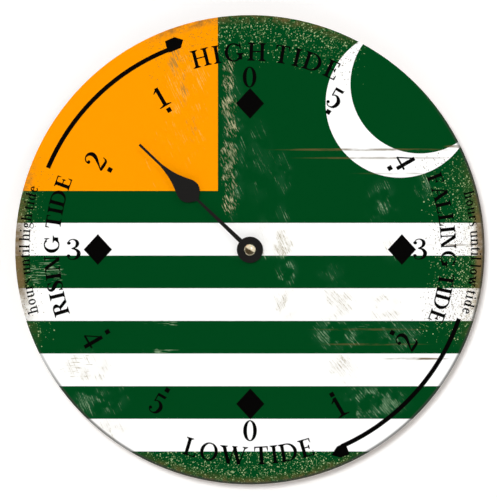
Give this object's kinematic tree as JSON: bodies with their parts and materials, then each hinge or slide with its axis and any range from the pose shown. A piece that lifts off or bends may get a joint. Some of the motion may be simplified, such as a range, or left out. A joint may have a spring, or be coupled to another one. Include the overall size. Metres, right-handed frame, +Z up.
{
  "type": "tide clock",
  "caption": "Round wall tide clock: a printed board dial with one pear shaped hand, clamped to a battery quartz movement that hangs from a keyhole plate.",
  "frame": {"origin": "on the hand arbor's axis, at the back face of the movement, where the clock meets the wall", "axes": "+X to the viewer's right, +Y into the wall, +Z up; the dial faces -Y"},
  "size_m": [0.3048, 0.0318, 0.3048],
  "materials": {
    "board": "fibreboard, sealed",
    "print": "printed film",
    "black_paint": "matt black paint on stamped sheet",
    "brass": "turned",
    "polished_brass": "polished",
    "steel": "zinc plated",
    "spring_steel": "rolled strip",
    "rubber": "moulded",
    "case_plastic": "fine spark texture",
    "cover_plastic": "fine spark texture",
    "plate_plastic": "moulded",
    "gear_plastic": "moulded acetal",
    "gear_red": "moulded acetal",
    "lamination": "soft iron sheet",
    "magnet": "sintered",
    "bobbin_plastic": "moulded",
    "copper": "enamelled wire",
    "circuit": "solder mask",
    "resin": "potting resin",
    "crystal_can": "drawn can",
    "contact": "nickel plated strip",
    "battery_sleeve": "printed sleeve",
    "battery_seal": "moulded",
    "battery_metal": "nickel plated"
  },
  "bodies": {
    "clock": {"dial_board": "board", "dial_face": "print", "threaded_bush": "brass", "rubber_washer": "rubber", "brass_washer": "brass", "hex_nut": "brass", "hanger_plate": "steel", "movement_case": "case_plastic", "back_cover": "cover_plastic", "cover_screw_1": "steel", "cover_screw_2": "steel", "cover_screw_3": "steel", "cover_screw_4": "steel", "plate_screw_1": "steel", "plate_screw_2": "steel", "coil_screw_1": "steel", "coil_screw_2": "steel", "middle_plate": "plate_plastic", "stator": "lamination", "coil_core": "lamination", "coil_bobbin": "bobbin_plastic", "coil_winding": "copper", "circuit_board": "circuit", "chip_resin": "resin", "crystal": "crystal_can", "positive_contact": "contact", "negative_contact": "contact"},
    "hand": {"hand_arbor": "steel", "clutch_collar": "brass", "setting_wheel": "gear_plastic", "tide_hand": "black_paint", "cap_nut": "polished_brass"},
    "drive": {"drive_wheel": "gear_plastic", "clutch_spring": "spring_steel"},
    "wheel_4": {"wheel_4": "gear_plastic"},
    "wheel_3": {"wheel_3": "gear_plastic"},
    "wheel_2": {"wheel_2": "gear_plastic"},
    "wheel_1": {"wheel_1": "gear_plastic"},
    "rotor": {"rotor_spindle": "gear_red", "rotor_magnet": "magnet"},
    "knob": {"setting_pinion": "gear_plastic", "setting_knob": "gear_red"},
    "battery": {"battery_can": "battery_sleeve", "battery_seal": "battery_seal", "battery_cap": "battery_metal"}
  },
  "joints": [
    {"name": "hand_turn", "type": "hinge", "parent": "clock", "child": "hand", "pos_m": [0, 0, 0], "axis": [0, 1, 0], "continuous": true},
    {"name": "knob_turn", "type": "hinge", "parent": "clock", "child": "knob", "pos_m": [0.00602, 0, 0.00422], "axis": [0, 1, 0], "continuous": true},
    {"name": "drive_wheel_turn", "type": "hinge", "parent": "clock", "child": "drive", "pos_m": [0, 0, 0], "axis": [0, 1, 0], "continuous": true},
    {"name": "wheel_4_turn", "type": "hinge", "parent": "clock", "child": "wheel_4", "pos_m": [-0.00772, 0, -0.00281], "axis": [0, 1, 0], "continuous": true},
    {"name": "wheel_3_turn", "type": "hinge", "parent": "clock", "child": "wheel_3", "pos_m": [-0.01324, 0, 0.00038], "axis": [0, 1, 0], "continuous": true},
    {"name": "wheel_2_turn", "type": "hinge", "parent": "clock", "child": "wheel_2", "pos_m": [-0.01623, 0, 0.00555], "axis": [0, 1, 0], "continuous": true},
    {"name": "wheel_1_turn", "type": "hinge", "parent": "clock", "child": "wheel_1", "pos_m": [-0.0135, 0, 0.01028], "axis": [0, 1, 0], "continuous": true},
    {"name": "rotor_turn", "type": "hinge", "parent": "clock", "child": "rotor", "pos_m": [-0.0135, 0, 0.01512], "axis": [0, 1, 0], "continuous": true},
    {"name": "battery_slide", "type": "slide", "parent": "clock", "child": "battery", "axis": [0, 1, 0], "range_m": [0, 0.02]}
  ],
  "couplings": [
    {"joint": "knob_turn", "follows": "hand_turn", "ratio": -2},
    {"joint": "wheel_1_turn", "follows": "wheel_2_turn", "ratio": -7.6667},
    {"joint": "rotor_turn", "follows": "wheel_2_turn", "ratio": 48.556},
    {"joint": "wheel_3_turn", "follows": "wheel_2_turn", "ratio": -0.13043},
    {"joint": "wheel_4_turn", "follows": "wheel_2_turn", "ratio": 0.017013},
    {"joint": "drive_wheel_turn", "follows": "wheel_2_turn", "ratio": -0.0021719}
  ]
}
